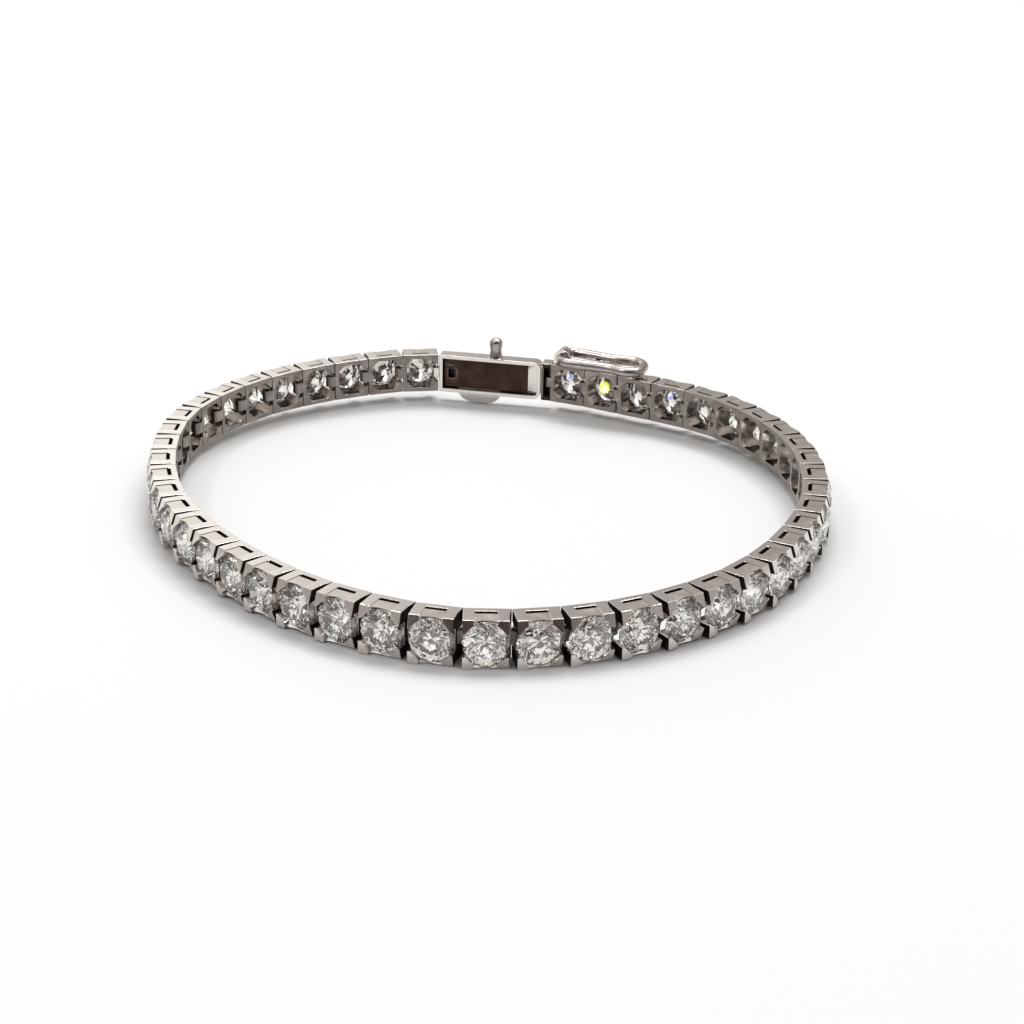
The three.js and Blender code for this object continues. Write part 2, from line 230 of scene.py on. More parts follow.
# The wrist side is rougher, and its dark colour is painted shade.
WRIST_SHADE_GOLD = (0.36, 0.325, 0.3, 1)
WRIST_SHADE_WORN = (0.27, 0.24, 0.22, 1)
WRIST_ROUGHNESS = 0.3
WINDOW_GOLD = (0.78, 0.735, 0.7, 1)
WINDOW_WORN = (0.66, 0.61, 0.58, 1)
WINDOW_ROUGHNESS = 0.12
BRUSHED_GOLD = (0.7, 0.66, 0.62, 1)
BRUSHED_WORN = (0.58, 0.54, 0.5, 1)
BRUSHED_ROUGHNESS = 0.13


def only(piece):
    """Makes the piece the one that is selected and worked on."""
    bpy.ops.object.select_all(action="DESELECT")
    piece.select_set(True)
    bpy.context.view_layer.objects.active = piece
    return piece


def block(low, high):
    """A cuboid between two corners."""
    bpy.ops.object.select_all(action="DESELECT")
    bpy.ops.mesh.primitive_cube_add(size=1)
    piece = bpy.context.object
    low, high = Vector(low), Vector(high)
    piece.location = (low + high) / 2
    piece.scale = high - low
    bpy.ops.object.transform_apply()
    return piece


def rod(radius, start, end, sides, top_radius=None):
    """A round bar or a cone from start to end."""
    start, end = Vector(start), Vector(end)
    bpy.ops.object.select_all(action="DESELECT")
    bpy.ops.mesh.primitive_cone_add(
        vertices=sides,
        radius1=radius,
        radius2=radius if top_radius is None else top_radius,
        depth=(end - start).length,
        location=(start + end) / 2,
        rotation=(end - start).to_track_quat("Z", "Y").to_euler(),
    )
    bpy.ops.object.transform_apply()
    return bpy.context.object


def carve(piece, tool, how="DIFFERENCE"):
    """Cuts the tool from the piece, or joins it on."""
    only(piece)
    change = piece.modifiers.new("carve", "BOOLEAN")
    change.operation = how
    change.object = tool
    change.solver = "EXACT"
    bpy.ops.object.modifier_apply(modifier=change.name)
    bpy.data.objects.remove(tool)
    return piece


def open_edges(piece, chosen):
    """Opens the piece with those edges selected that are chosen by their two ends."""
    only(piece)
    bpy.ops.object.mode_set(mode="EDIT")
    bpy.ops.mesh.select_mode(type="EDGE")
    bpy.ops.mesh.select_all(action="DESELECT")
    bpy.ops.object.mode_set(mode="OBJECT")
    for edge in piece.data.edges:
        start, end = [piece.data.vertices[v].co for v in edge.vertices]
        edge.select = chosen(start, end)
    bpy.ops.object.mode_set(mode="EDIT")


def soften(piece, width, segments=2):
    """Rounds the sharp edges as polishing does."""
    only(piece)
    bpy.ops.object.mode_set(mode="EDIT")
    bpy.ops.mesh.select_all(action="SELECT")
    bpy.ops.mesh.remove_doubles(threshold=MERGE)
    bpy.ops.mesh.dissolve_limited(angle_limit=LEVEL_ANGLE)
    bpy.ops.object.mode_set(mode="OBJECT")
    edges = piece.modifiers.new("edges", "BEVEL")
    edges.width = width
    edges.segments = segments
    edges.limit_method = "ANGLE"
    edges.angle_limit = ROUNDED_ANGLE
    edges.use_clamp_overlap = False
    bpy.ops.object.modifier_apply(modifier=edges.name)
    return piece


def polish(piece):
    """Smooth over the rounded edges, with the flats kept flat."""
    only(piece)
    bpy.ops.object.shade_smooth_by_angle(angle=SMOOTH_ANGLE)
    flats = piece.modifiers.new("flats", "WEIGHTED_NORMAL")
    flats.keep_sharp = True
    bpy.ops.object.modifier_apply(modifier=flats.name)
    return piece


def hinge_eye(wall, bar):
    """A lug from the wall to the next bar, drilled to go round it."""
    half = EYE_WIDTH / 2
    lug = block((wall - OVERLAP, -half, BAR_DEPTH - EYE_RADIUS), (bar, half, BAR_DEPTH + EYE_RADIUS))
    nose = rod(EYE_RADIUS, (bar, -half, BAR_DEPTH), (bar, half, BAR_DEPTH), EYE_SIDES)
    return carve(lug, nose, "UNION")


def eye_bore(bar):
    """The drill that opens an eye for the bar."""
    return rod(EYE_BORE, (bar, -CUT, BAR_DEPTH), (bar, CUT, BAR_DEPTH), BORE_SIDES)


def window():
    """The opening under the stone: a block with its four corners taken off."""
    hole = block((LINK_MIDDLE - WINDOW_X, -WINDOW_Y, -CUT), (LINK_MIDDLE + WINDOW_X, WINDOW_Y, CUT))
    open_edges(hole, lambda start, end: abs(start.z - end.z) > CUT)
    bpy.ops.mesh.bevel(offset=WINDOW_X - EDGE_OPENING, segments=1)
    bpy.ops.object.mode_set(mode="OBJECT")
    return hole


def lip(side):
    """A filed shoulder on the wrist side, where a link nearly meets the next."""
    low, high = sorted((side * LIP_FROM, side * LINK_HALF_HEIGHT))
    piece = block((LINK_END - OVERLAP, low, 0), (LINK_END + LIP, high, LIP_DEPTH))
    only(piece)
    bpy.ops.object.mode_set(mode="EDIT")
    bpy.ops.mesh.select_all(action="SELECT")
    bpy.ops.mesh.bisect(
        plane_co=(LINK_END + LIP, 0, 0), plane_no=(LIP_DEPTH, 0, LIP), use_fill=True, clear_outer=True
    )
    bpy.ops.object.mode_set(mode="OBJECT")
    return piece


def setting():
    """One link without its stone."""
    piece = block((LINK_START, -LINK_HALF_HEIGHT, 0), (LINK_END, LINK_HALF_HEIGHT, PRONG_DEPTH))
    carve(piece, window())
    bar_end = LINK_MIDDLE - WINDOW_X
    over_bar = BAR_DEPTH + BAR_HEIGHT / 2
    carve(piece, block((LINK_START - CUT, -END_OPENING, over_bar), (bar_end, END_OPENING, CUT)))
    carve(piece, block((LINK_START - CUT, -END_OPENING, -CUT), (bar_end, END_OPENING, over_bar - BAR_HEIGHT)))
    wall = LINK_MIDDLE + WINDOW_X
    carve(piece, block((wall - HAIR, -END_OPENING, WALL_TOP), (wall + CUT, END_OPENING, CUT)))
    slot_low = (LINK_MIDDLE - SLOT_LENGTH / 2, -CUT, SLOT_DEPTH - SLOT_WIDTH / 2)
    slot_high = (LINK_MIDDLE + SLOT_LENGTH / 2, CUT, SLOT_DEPTH + SLOT_WIDTH / 2)
    carve(piece, block(slot_low, slot_high))
    for side in (-1, 1):
        carve(piece, lip(side), "UNION")
    # Between the prongs the plates are cut to just under the stone.
    slope = STONE_RADIUS / (GIRDLE_DEPTH - CULET_DEPTH)
    deep = CULET_DEPTH - SCOOP_UNDER
    scoop = block((LINK_MIDDLE - EDGE_OPENING, -CUT, 0), (LINK_MIDDLE + EDGE_OPENING, CUT, SCOOP_TOP))
    cone = rod(POINT, (LINK_MIDDLE, 0, deep), (LINK_MIDDLE, 0, deep + CUT), SEAT_SIDES, CUT * slope)
    carve(piece, carve(scoop, cone, "INTERSECT"))
    # The prongs rise from the girdle's edge and slope away from the stone.
    rise = PRONG_DEPTH - GIRDLE_DEPTH
    spread = (PRONG_INNER_RADIUS - SEAT_RADIUS) / rise
    top_radius = SEAT_RADIUS + 2 * rise * spread
    seat_low, seat_high = (LINK_MIDDLE, 0, GIRDLE_DEPTH), (LINK_MIDDLE, 0, PRONG_DEPTH + rise)
    carve(piece, rod(SEAT_RADIUS, seat_low, seat_high, SEAT_SIDES, top_radius))
    for side in (-1, 1):
        flat = block((LINK_START - OVERRUN, 0, 0), (LINK_END + OVERRUN, CUT, CUT))
        lean = math.atan2(PRONG_DROP, LINK_HALF_HEIGHT - PRONG_SLOPE_FROM)
        turn = Matrix.Translation((0, PRONG_SLOPE_FROM, PRONG_DEPTH)) @ Matrix.Rotation(-lean, 4, "X")
        flat.data.transform(turn)
        if side < 0:
            flat.data.transform(Matrix.Rotation(math.pi, 4, "Z"))
            flat.data.transform(Matrix.Translation((2 * LINK_MIDDLE, 0, 0)))
        carve(piece, flat)
    carve(piece, hinge_eye(LINK_END, PITCH), "UNION")
    carve(piece, eye_bore(PITCH))
    return piece


def file_panels(piece):
    """Files each plate down a little between the prongs, which leaves a ridge at each end."""
    for side in (-1, 1):
        low, high = sorted((side * (LINK_HALF_HEIGHT - PANEL_DROP), side * CUT))
        start, end = LINK_MIDDLE - EDGE_OPENING, LINK_MIDDLE + EDGE_OPENING
        carve(piece, block((start, low, SLOT_DEPTH), (end, high, CUT)))
    return piece


def finish(piece, choose, *materials):
    """Gives each face the finish that is chosen by its centre and normal."""
    for material in materials:
        piece.data.materials.append(material)
    for face in piece.data.polygons:
        face.material_index = materials.index(choose(face.center, face.normal))


def lay(model, name, frame_matrix, body, slot, *nodes):
    """A copy of the model in its place on the bracelet, standing for the CAD nodes."""
    piece = bpy.data.objects.new(name, model.data.copy())
    bpy.context.scene.collection.objects.link(piece)
    piece.data.transform(frame_matrix)
    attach(piece, body)
    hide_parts(*nodes)
    return piece


painted_recess_shade = polished_gold("white_gold_recess", RECESS_SHADE_GOLD, RECESS_SHADE_WORN, RECESS_SHADE_ROUGHNESS)
dull_shaded_wrist_side = polished_gold("white_gold_wrist_side", WRIST_SHADE_GOLD, WRIST_SHADE_WORN, WRIST_ROUGHNESS)
window_side = polished_gold("white_gold_window", WINDOW_GOLD, WINDOW_WORN, WINDOW_ROUGHNESS)
brushed = polished_gold("white_gold_brushed", BRUSHED_GOLD, BRUSHED_WORN, BRUSHED_ROUGHNESS)


def link_finish(centre, normal):
    """Painted shade in the gaps and slots, dull with painted shade on the wrist side, brushed on the panels,
    or polished.
    """
    across, up = abs(centre.x - LINK_MIDDLE), abs(centre.y)
    at_end = abs(normal.x) > END_FACING and across > LINK_LENGTH / 2 - NEAR
    in_window = across < WINDOW_X + NEAR and up < WINDOW_Y + NEAR and abs(normal.z) < WALL_FACING
    by_slot = across < SLOT_LENGTH / 2 + NEAR and abs(centre.z - SLOT_DEPTH) < SLOT_WIDTH / 2 + NEAR
    in_slot = by_slot and up < LINK_HALF_HEIGHT - OVERLAP
    on_eye = centre.x > LINK_END + LIP + NEAR and up < EYE_WIDTH / 2 + NEAR
    if at_end or in_slot:
        return painted_recess_shade
    if in_window:
        return window_side
    if on_eye or (normal.z < -FACING and centre.z < NEAR):
        return dull_shaded_wrist_side
    filed = abs(normal.y) > FACING and abs(up - LINK_HALF_HEIGHT + PANEL_DROP) < HAIR
    return brushed if filed else gold


LINK_FINISHES = (gold, painted_recess_shade, dull_shaded_wrist_side, window_side, brushed)
link_model = polish(file_panels(soften(setting(), LINK_EDGE)))
finish(link_model, link_finish, *LINK_FINISHES)
for i in range(LINK_COUNT - 1):
    lay(link_model, f"setting_{i + 1:02d}", link_frames[i], "root", "white_gold", f"stone_link_{i + 1:02d}")

# The safety catch's barrel is soldered on the last link. It is turned by half the bend between
# the link and the clasp, so that the catch lies along the links open and along the clasp shut.
CATCH_DEPTH = 1.2
CATCH_HINGE_INSET = 0.755
WIRE_RADIUS = 0.49
BARREL_LENGTH = 1.5
BARREL_BORE = 0.56
BARREL_RADIUS = 0.86
BARREL_SEAT = 0.28
BARREL_SIDES = 40
BARREL_EDGE = 0.06

last_way = bars[-1] - bars[-2]
clasp_way = bars[0] - bars[-1]
clasp_bend = math.atan2(last_way.cross(clasp_way).z, last_way.dot(clasp_way))
catch_at = (LINK_END - CATCH_HINGE_INSET, LINK_HALF_HEIGHT + BARREL_RADIUS - BARREL_SEAT, CATCH_DEPTH)
catch_frame = Matrix.Translation(catch_at) @ Matrix.Rotation(clasp_bend / 2, 4, "Y")
barrel = rod(BARREL_RADIUS, (0, 0, -BARREL_LENGTH / 2), (0, 0, BARREL_LENGTH / 2), BARREL_SIDES)
carve(barrel, rod(BARREL_BORE, (0, 0, -CUT), (0, 0, CUT), BARREL_SIDES))
soften(barrel, BARREL_EDGE)
barrel.data.transform(catch_frame)
last_model = polish(file_panels(carve(soften(setting(), LINK_EDGE), barrel, "UNION")))
finish(last_model, link_finish, *LINK_FINISHES)
lay(last_model, "setting_46", link_frames[-1], "root", "white_gold", "stone_link_46")
bpy.data.objects.remove(last_model)
bpy.data.objects.remove(link_model)

# The stones are round brilliants, ground flat by flat from a round blank: table, stars, kites
# and upper halves on the crown, mains and lower halves on the pavilion. Each is set a little
# differently round its own axis, as a setter leaves them.
GIRDLE_HALF = 0.04
CROWN_TOP = 2.48
TABLE_RADIUS = 0.96
STAR_ANGLE = math.radians(21)
LOWER_HALF_REACH = 0.25
BLANK_SIDES = 64
SIXTEENTH = math.pi / 8
GRIND_SNAP = 1e-5
FACET_MERGE = 0.003
DIAMOND_IOR = 2.42
DIAMOND_WARM = (1.0, 0.955, 0.92, 1)
DIAMOND_COOL = (0.975, 0.985, 0.945, 1)
TINTS_PER_METRE = 380
FLAT_TIP = 0.07
FLATS_PER_METRE = 1300
PAINTED_FLASH_CORE = 0.8
girdle_top = GIRDLE_DEPTH + GIRDLE_HALF
girdle_low = GIRDLE_DEPTH - GIRDLE_HALF
pavilion_slope = (girdle_low - CULET_DEPTH) / STONE_RADIUS


def polar(radius, turns, depth):
    """A point round the stone, its direction in sixteenths of a turn."""
    angle = turns * SIXTEENTH
    return Vector((radius * math.cos(angle), radius * math.sin(angle), depth))


def grind(points):
    """Takes off what lies outside the flat through three points."""
    a, b, c = points
    normal = (b - a).cross(c - a).normalized()
    if normal.dot(a - Vector((0, 0, GIRDLE_DEPTH))) < 0:
        normal.negate()
    bpy.ops.mesh.select_all(action="SELECT")
    bpy.ops.mesh.bisect(plane_co=a, plane_no=normal, use_fill=True, clear_outer=True, threshold=GRIND_SNAP)


def brilliant():
    """One stone, with its axis along Z."""
    stone = rod(STONE_RADIUS, (0, 0, CULET_DEPTH), (0, 0, CROWN_TOP), BLANK_SIDES)
    only(stone)
    bpy.ops.object.mode_set(mode="EDIT")
    crown_slope = (CROWN_TOP - girdle_top) / (STONE_RADIUS - TABLE_RADIUS)
    star_in = TABLE_RADIUS * math.cos(SIXTEENTH)
    ridge = crown_slope * math.cos(SIXTEENTH)
    fall = math.tan(STAR_ANGLE)
    star_reach = (girdle_top + STONE_RADIUS * crown_slope - CROWN_TOP - star_in * fall) / (ridge - fall)
    star_depth = CROWN_TOP - (star_reach - star_in) * fall
    half_reach = STONE_RADIUS * LOWER_HALF_REACH
    half_depth = CULET_DEPTH + half_reach * math.cos(SIXTEENTH) * pavilion_slope
    for k in range(0, 16, 2):
        across = polar(1, k + 4, 0)
        top, foot = polar(STONE_RADIUS, k, girdle_top), polar(STONE_RADIUS, k, girdle_low)
        grind((top, polar(TABLE_RADIUS, k, CROWN_TOP), top + across))
        grind((foot, Vector((0, 0, CULET_DEPTH)), foot + across))
    for k in range(1, 16, 2):
        star_tip = polar(star_reach, k, star_depth)
        half_tip = polar(half_reach, k, half_depth)
        grind((polar(TABLE_RADIUS, k - 1, CROWN_TOP), polar(TABLE_RADIUS, k + 1, CROWN_TOP), star_tip))
        top, foot = polar(STONE_RADIUS, k, girdle_top), polar(STONE_RADIUS, k, girdle_low)
        for side in (-1, 1):
            grind((top, polar(STONE_RADIUS, k + side, girdle_top), star_tip))
            grind((foot, polar(STONE_RADIUS, k + side, girdle_low), half_tip))
    bpy.ops.mesh.select_all(action="SELECT")
    bpy.ops.mesh.remove_doubles(threshold=FACET_MERGE)
    bpy.ops.object.mode_set(mode="OBJECT")
    bpy.ops.object.shade_flat()
    return stone


def cut_stone(name, flash=None, reach=0, colour=None):
    """Clear diamond, and where it is given one, a painted glint: a spot that glows a colour of the spectrum.
    """
    material = bpy.data.materials.new(name)
    material.use_nodes = True
    nodes, links = material.node_tree.nodes, material.node_tree.links
    shader = nodes["Principled BSDF"]
    shader.inputs["Roughness"].default_value = 0.0
    shader.inputs["IOR"].default_value = DIAMOND_IOR
    shader.inputs["Transmission Weight"].default_value = 1
    place = nodes.new("ShaderNodeTexCoord")
    clouds = nodes.new("ShaderNodeTexNoise")
    clouds.inputs["Scale"].default_value = TINTS_PER_METRE
    tint = nodes.new("ShaderNodeMix")
    tint.data_type = "RGBA"
    tint.inputs[MIX_FROM].default_value = DIAMOND_WARM
    tint.inputs[MIX_TO].default_value = DIAMOND_COOL
    links.new(place.outputs["Object"], clouds.inputs["Vector"])
    links.new(clouds.outputs["Fac"], tint.inputs[MIX_SHARE])
    links.new(tint.outputs[MIX_RESULT], shader.inputs["Base Color"])
    # Small flats left by the wheel tip the light a little differently from place to place.
    flats = nodes.new("ShaderNodeTexVoronoi")
    flats.inputs["Scale"].default_value = FLATS_PER_METRE
    tip = nodes.new("ShaderNodeVectorMath")
    tip.operation = "MULTIPLY_ADD"
    tip.inputs[1].default_value = (FLAT_TIP, FLAT_TIP, FLAT_TIP)
    tip.inputs[2].default_value = (-FLAT_TIP / 2, -FLAT_TIP / 2, -FLAT_TIP / 2)
    surface = nodes.new("ShaderNodeNewGeometry")
    tipped = nodes.new("ShaderNodeVectorMath")
    even = nodes.new("ShaderNodeVectorMath")
    even.operation = "NORMALIZE"
    links.new(place.outputs["Object"], flats.inputs["Vector"])
    links.new(flats.outputs["Color"], tip.inputs[0])
    links.new(surface.outputs["Normal"], tipped.inputs[0])
    links.new(tip.outputs["Vector"], tipped.inputs[1])
    links.new(tipped.outputs["Vector"], even.inputs[0])
    links.new(even.outputs["Vector"], shader.inputs["Normal"])
    if flash is None:
        return material
    # The spot glows by emission on the outer faces: a painted glint.
    away = nodes.new("ShaderNodeVectorMath")
    away.operation = "DISTANCE"
    away.inputs[1].default_value = flash
    spot = nodes.new("ShaderNodeMapRange")
    spot.inputs["From Min"].default_value = reach * PAINTED_FLASH_CORE
    spot.inputs["From Max"].default_value = reach
    spot.inputs["To Min"].default_value = 1
    spot.inputs["To Max"].default_value = 0
    links.new(place.outputs["Object"], away.inputs[0])
    links.new(away.outputs["Value"], spot.inputs["Value"])
    outside = nodes.new("ShaderNodeMath")
    outside.operation = "SUBTRACT"
    outside.use_clamp = True
    links.new(spot.outputs["Result"], outside.inputs[0])
    links.new(surface.outputs["Backfacing"], outside.inputs[1])
    links.new(outside.outputs[0], shader.inputs["Emission Strength"])
    shader.inputs["Emission Color"].default_value = colour
    return material


stone_model = brilliant()
stone_model.data.materials.append(cut_stone("diamond_cut"))
# By link, the painted glint that glows on the stone: where it lies from the stone's axis, its radius, and its
# colour.
PAINTED_FLASHES = {
    41: ((0.25, 0.2), 0.25, (0.1, 0.5, 0.05, 1)),
    43: ((0.25, 0.6), 0.4, (0.3, 0.33, 0.75, 1)),
    45: ((0.1, 0.25), 0.75, (0.62, 0.8, 0.015, 1)),
    46: ((0.1, 0.6), 0.4, (0.34, 0.36, 0.62, 1)),
}
STONE_TURN = math.radians(37)
STONE_LEAN = math.radians(1.6)
LEAN_STEP = 2.4
for i in range(LINK_COUNT):
    lean_way = i * LEAN_STEP
    set_in = (
        Matrix.Translation((LINK_MIDDLE, 0, GIRDLE_DEPTH))
        @ Matrix.Rotation(STONE_LEAN, 4, Vector((math.cos(lean_way), math.sin(lean_way), 0)))
        @ Matrix.Rotation(i * STONE_TURN, 4, "Z")
        @ Matrix.Translation((0, 0, -GIRDLE_DEPTH))
    )
    name = f"stone_{i + 1:02d}"
    stone = lay(stone_model, name, link_frames[i] @ set_in, "root", "diamond", f"stone_link_{i + 1:02d}")
    if i + 1 in PAINTED_FLASHES:
        (x, y), reach, colour = PAINTED_FLASHES[i + 1]
        depth = CULET_DEPTH + math.hypot(x, y) * pavilion_slope
        spot = link_frames[i] @ Vector((LINK_MIDDLE + x, y, depth))
        stone.data.materials[0] = cut_stone(f"diamond_painted_glint_{i + 1}", spot, reach * MM, colour)
bpy.data.objects.remove(stone_model)

# The tray of the box clasp is a plain box, open to the wrist, with round corners at the seam.
# A post with a ball head stands on its upper edge for the safety catch, and an eye at its far
# end goes round the first link's bar.
CLASP_PITCH = 11.47
CLASP_DEPTH = 1.5
CLASP_WALL = 0.35
CLASP_CORNER = 0.7
CLASP_CORNER_STEPS = 10
CLASP_EDGE = 0.06
CLASP_EDGE_STEPS = 3
TRAY_START = 0.905
TRAY_END = 11.075
TONGUE_DEPTH = 0.45
TONGUE_BACK = 0.75
TONGUE_CLEARANCE = 0.12
TONGUE_HALF = LINK_HALF_HEIGHT - CLASP_WALL - TONGUE_CLEARANCE
TAB_LENGTH = 4.2
TAB_DROP = 1.1
TAB_MIDDLE = LINK_START + 7.2
POST_AT = LINK_START + 5.65
POST_SIDES = 32
POST_CLEAR = 0.03
# The post and the catch are a little rougher, and their darker colour is painted shade.
DULLED_SHADED_GOLD = (0.44, 0.4, 0.38, 1)
DULLED_SHADED_WORN = (0.36, 0.325, 0.31, 1)
DULLED_ROUGHNESS = 0.15
POST_PROFILE = [
    (0.74, -0.17), (0.69, 0.08), (0.61, 0.35), (0.56, 0.7), (0.56, 0.9), (0.59, 1.05), (0.63, 1.2),
    (0.65, 1.4), (0.63, 1.6), (0.56, 1.76), (0.43, 1.88), (0.26, 1.96), (0.08, 1.995),
]


def turned(profile, sides):
    """A round piece raised ring by ring from its foot."""
    bpy.ops.object.select_all(action="DESELECT")
    radius, height = profile[0]
    foot = (0, 0, height)
    bpy.ops.mesh.primitive_circle_add(vertices=sides, radius=radius, fill_type="NGON", location=foot)
    bpy.ops.object.transform_apply()
    piece = bpy.context.object
    bpy.ops.object.mode_set(mode="EDIT")
    bpy.ops.mesh.select_all(action="SELECT")
    for next_radius, next_height in profile[1:]:
        rise = (0, 0, next_height - height)
        bpy.ops.mesh.extrude_region_move(TRANSFORM_OT_translate={"value": rise})
        grow = next_radius / radius
        bpy.ops.transform.resize(value=(grow, grow, 1), center_override=(0, 0, next_height))
        radius, height = next_radius, next_height
    bpy.ops.mesh.select_all(action="SELECT")
    bpy.ops.mesh.normals_make_consistent(inside=False)
    bpy.ops.object.mode_set(mode="OBJECT")
    return piece


def open_faces(piece, chosen):
    """Opens the piece with those faces selected that are chosen by their normal."""
    only(piece)
    bpy.ops.object.mode_set(mode="EDIT")
    bpy.ops.mesh.select_all(action="DESELECT")
    bpy.ops.mesh.select_mode(type="FACE")
    bpy.ops.object.mode_set(mode="OBJECT")
    for face in piece.data.polygons:
        face.select = chosen(face.normal)
    bpy.ops.object.mode_set(mode="EDIT")


def tray():
    """The box of the clasp with its post and its eye."""
    piece = block((TRAY_START, -LINK_HALF_HEIGHT, 0), (TRAY_END, LINK_HALF_HEIGHT, CLASP_DEPTH))
    open_edges(piece, lambda start, end: abs(start.z - end.z) > CLASP_DEPTH / 2 and start.x < LINK_MIDDLE)
    bpy.ops.mesh.bevel(offset=CLASP_CORNER, segments=CLASP_CORNER_STEPS)
    bpy.ops.object.mode_set(mode="OBJECT")
    open_faces(piece, lambda normal: normal.z < -FACING)
    bpy.ops.mesh.inset(thickness=CLASP_WALL)
    bpy.ops.mesh.extrude_region_move(TRANSFORM_OT_translate={"value": (0, 0, CLASP_DEPTH - CLASP_WALL)})
    bpy.ops.object.mode_set(mode="OBJECT")
    low, high = TONGUE_DEPTH - TONGUE_CLEARANCE, TONGUE_BACK + TONGUE_CLEARANCE
    gap = TONGUE_HALF + TONGUE_CLEARANCE
    carve(piece, block((TRAY_START - CUT, -gap, low), (TRAY_START + CLASP_CORNER + CLASP_WALL, gap, high)))
    tab_end = TAB_MIDDLE + TAB_LENGTH / 2 + TONGUE_CLEARANCE
    carve(piece, block((TRAY_START - CUT, -CUT, low), (tab_end, -LINK_HALF_HEIGHT + CLASP_WALL, high)))
    post = turned(POST_PROFILE, POST_SIDES)
    post.data.transform(Matrix.Rotation(-math.pi / 2, 4, "X"))
    post.data.transform(Matrix.Translation((POST_AT, LINK_HALF_HEIGHT, CLASP_DEPTH / 2)))
    carve(piece, post, "UNION")
    carve(piece, hinge_eye(TRAY_END, CLASP_PITCH), "UNION")
    return carve(piece, eye_bore(CLASP_PITCH))


dulled_and_shaded = polished_gold("white_gold_dulled", DULLED_SHADED_GOLD, DULLED_SHADED_WORN, DULLED_ROUGHNESS)


def tray_finish(centre, normal):
    """The floor of the tray, behind the blade, has painted shade, and the post is a little dull and painted
    darker as shade.
    """
    if centre.y > LINK_HALF_HEIGHT + POST_CLEAR:
        return dulled_and_shaded
    return painted_recess_shade if normal.z < -FACING and centre.z > CLASP_DEPTH / 2 else gold


tray_model = polish(soften(tray(), CLASP_EDGE, CLASP_EDGE_STEPS))
finish(tray_model, tray_finish, gold, painted_recess_shade, dulled_and_shaded)
lay(tray_model, "box_tray", clasp_frame, "root", "white_gold", "clasp_box")
bpy.data.objects.remove(tray_model)

# The tongue slides into the tray. Its fork, closed at the back, takes the last link's eye on a
# bar. Its spring blade is unpolished, painted dark brown as shade, and ends in a D-shaped
# eyelet. The half-moon tab under the clasp is pressed to release it.
WEB_START = 0.605
WEB_END = 0.805
CHEEK = 0.4
FORK_BACK = 1.2
BLADE_END = TRAY_END - CLASP_WALL - TONGUE_CLEARANCE
EYELET_END = BLADE_END - TONGUE_CLEARANCE
EYELET_LENGTH = 1.15
EYELET_HALF = 0.85
EYELET_RIM = 0.25
EYELET_SIDE_RIM = 0.35
EYELET_RISE = 0.2
EYELET_SIDES = 48
MOON_SIDES = 64
TONGUE_EDGE = 0.045
BLADE_SHADE_FROM = 2.2
# From here on the blade's face and the eyelet's face are painted dark brown as shade.
SHADED_BLADE = (0.065, 0.038, 0.03, 1)
SHADED_BLADE_LIGHT = (0.11, 0.068, 0.052, 1)
SHADED_BLADE_ROUGHNESS = 0.38


def tongue():
    """The fork, the blade, the tab and the eyelet in one."""
    piece = block((LINK_START, -LINK_HALF_HEIGHT, 0), (WEB_END, LINK_HALF_HEIGHT, CLASP_DEPTH))
    inside = LINK_HALF_HEIGHT - CHEEK
    carve(piece, block((LINK_START - CUT, -inside, -CUT), (WEB_START, inside, CUT)))
    back_low = (LINK_START + OVERLAP, -inside - OVERLAP, FORK_BACK)
    back_high = (WEB_START + OVERLAP, inside + OVERLAP, CLASP_DEPTH)
    carve(piece, block(back_low, back_high), "UNION")
    bar_low, bar_high = BAR_DEPTH - BAR_HEIGHT / 2, BAR_DEPTH + BAR_HEIGHT / 2
    bar_reach = LINK_HALF_HEIGHT - OVERLAP
    bar = block((-END_WALL / 2, -bar_reach, bar_low), (END_WALL / 2, bar_reach, bar_high))
    carve(piece, bar, "UNION")
    blade = block((WEB_START + NEAR, -TONGUE_HALF, TONGUE_DEPTH), (BLADE_END, TONGUE_HALF, TONGUE_BACK))
    carve(piece, blade, "UNION")
    reach = TAB_LENGTH / 2
    shank_top = -TONGUE_HALF + TONGUE_CLEARANCE
    shank_start = (TAB_MIDDLE - reach, -LINK_HALF_HEIGHT, TONGUE_DEPTH)
    shank = block(shank_start, (TAB_MIDDLE + reach, shank_top, TONGUE_BACK))
    moon = rod(1, (0, 0, TONGUE_DEPTH), (0, 0, TONGUE_BACK), MOON_SIDES)
    moon.data.transform(Matrix.Diagonal((reach, TAB_DROP, 1, 1)))
    moon.data.transform(Matrix.Translation((TAB_MIDDLE, -LINK_HALF_HEIGHT, 0)))
    carve(moon, block((TAB_MIDDLE - CUT, -LINK_HALF_HEIGHT + HAIR, -CUT), (TAB_MIDDLE + CUT, CUT, CUT)))
    carve(piece, carve(shank, moon, "UNION"), "UNION")
    eyelet = rod(1, (0, 0, TONGUE_DEPTH - EYELET_RISE), (0, 0, TONGUE_BACK - HAIR), EYELET_SIDES)
    eyelet.data.transform(Matrix.Diagonal((EYELET_LENGTH / 2, EYELET_HALF, 1, 1)))
    middle = EYELET_END - EYELET_LENGTH / 2
    eyelet.data.transform(Matrix.Translation((middle, 0, 0)))
    base_start = (middle, -EYELET_HALF, TONGUE_DEPTH - EYELET_RISE)
    base = block(base_start, (EYELET_END, EYELET_HALF, TONGUE_BACK - HAIR))
    carve(piece, carve(eyelet, base, "UNION"), "UNION")
    side = EYELET_HALF - EYELET_SIDE_RIM
    hole = block((EYELET_END - EYELET_LENGTH + EYELET_RIM, -side, -CUT), (EYELET_END - EYELET_RIM, side, CUT))
    return carve(piece, hole)


painted_shade = polished_gold("blade_browned", SHADED_BLADE, SHADED_BLADE_LIGHT, SHADED_BLADE_ROUGHNESS)


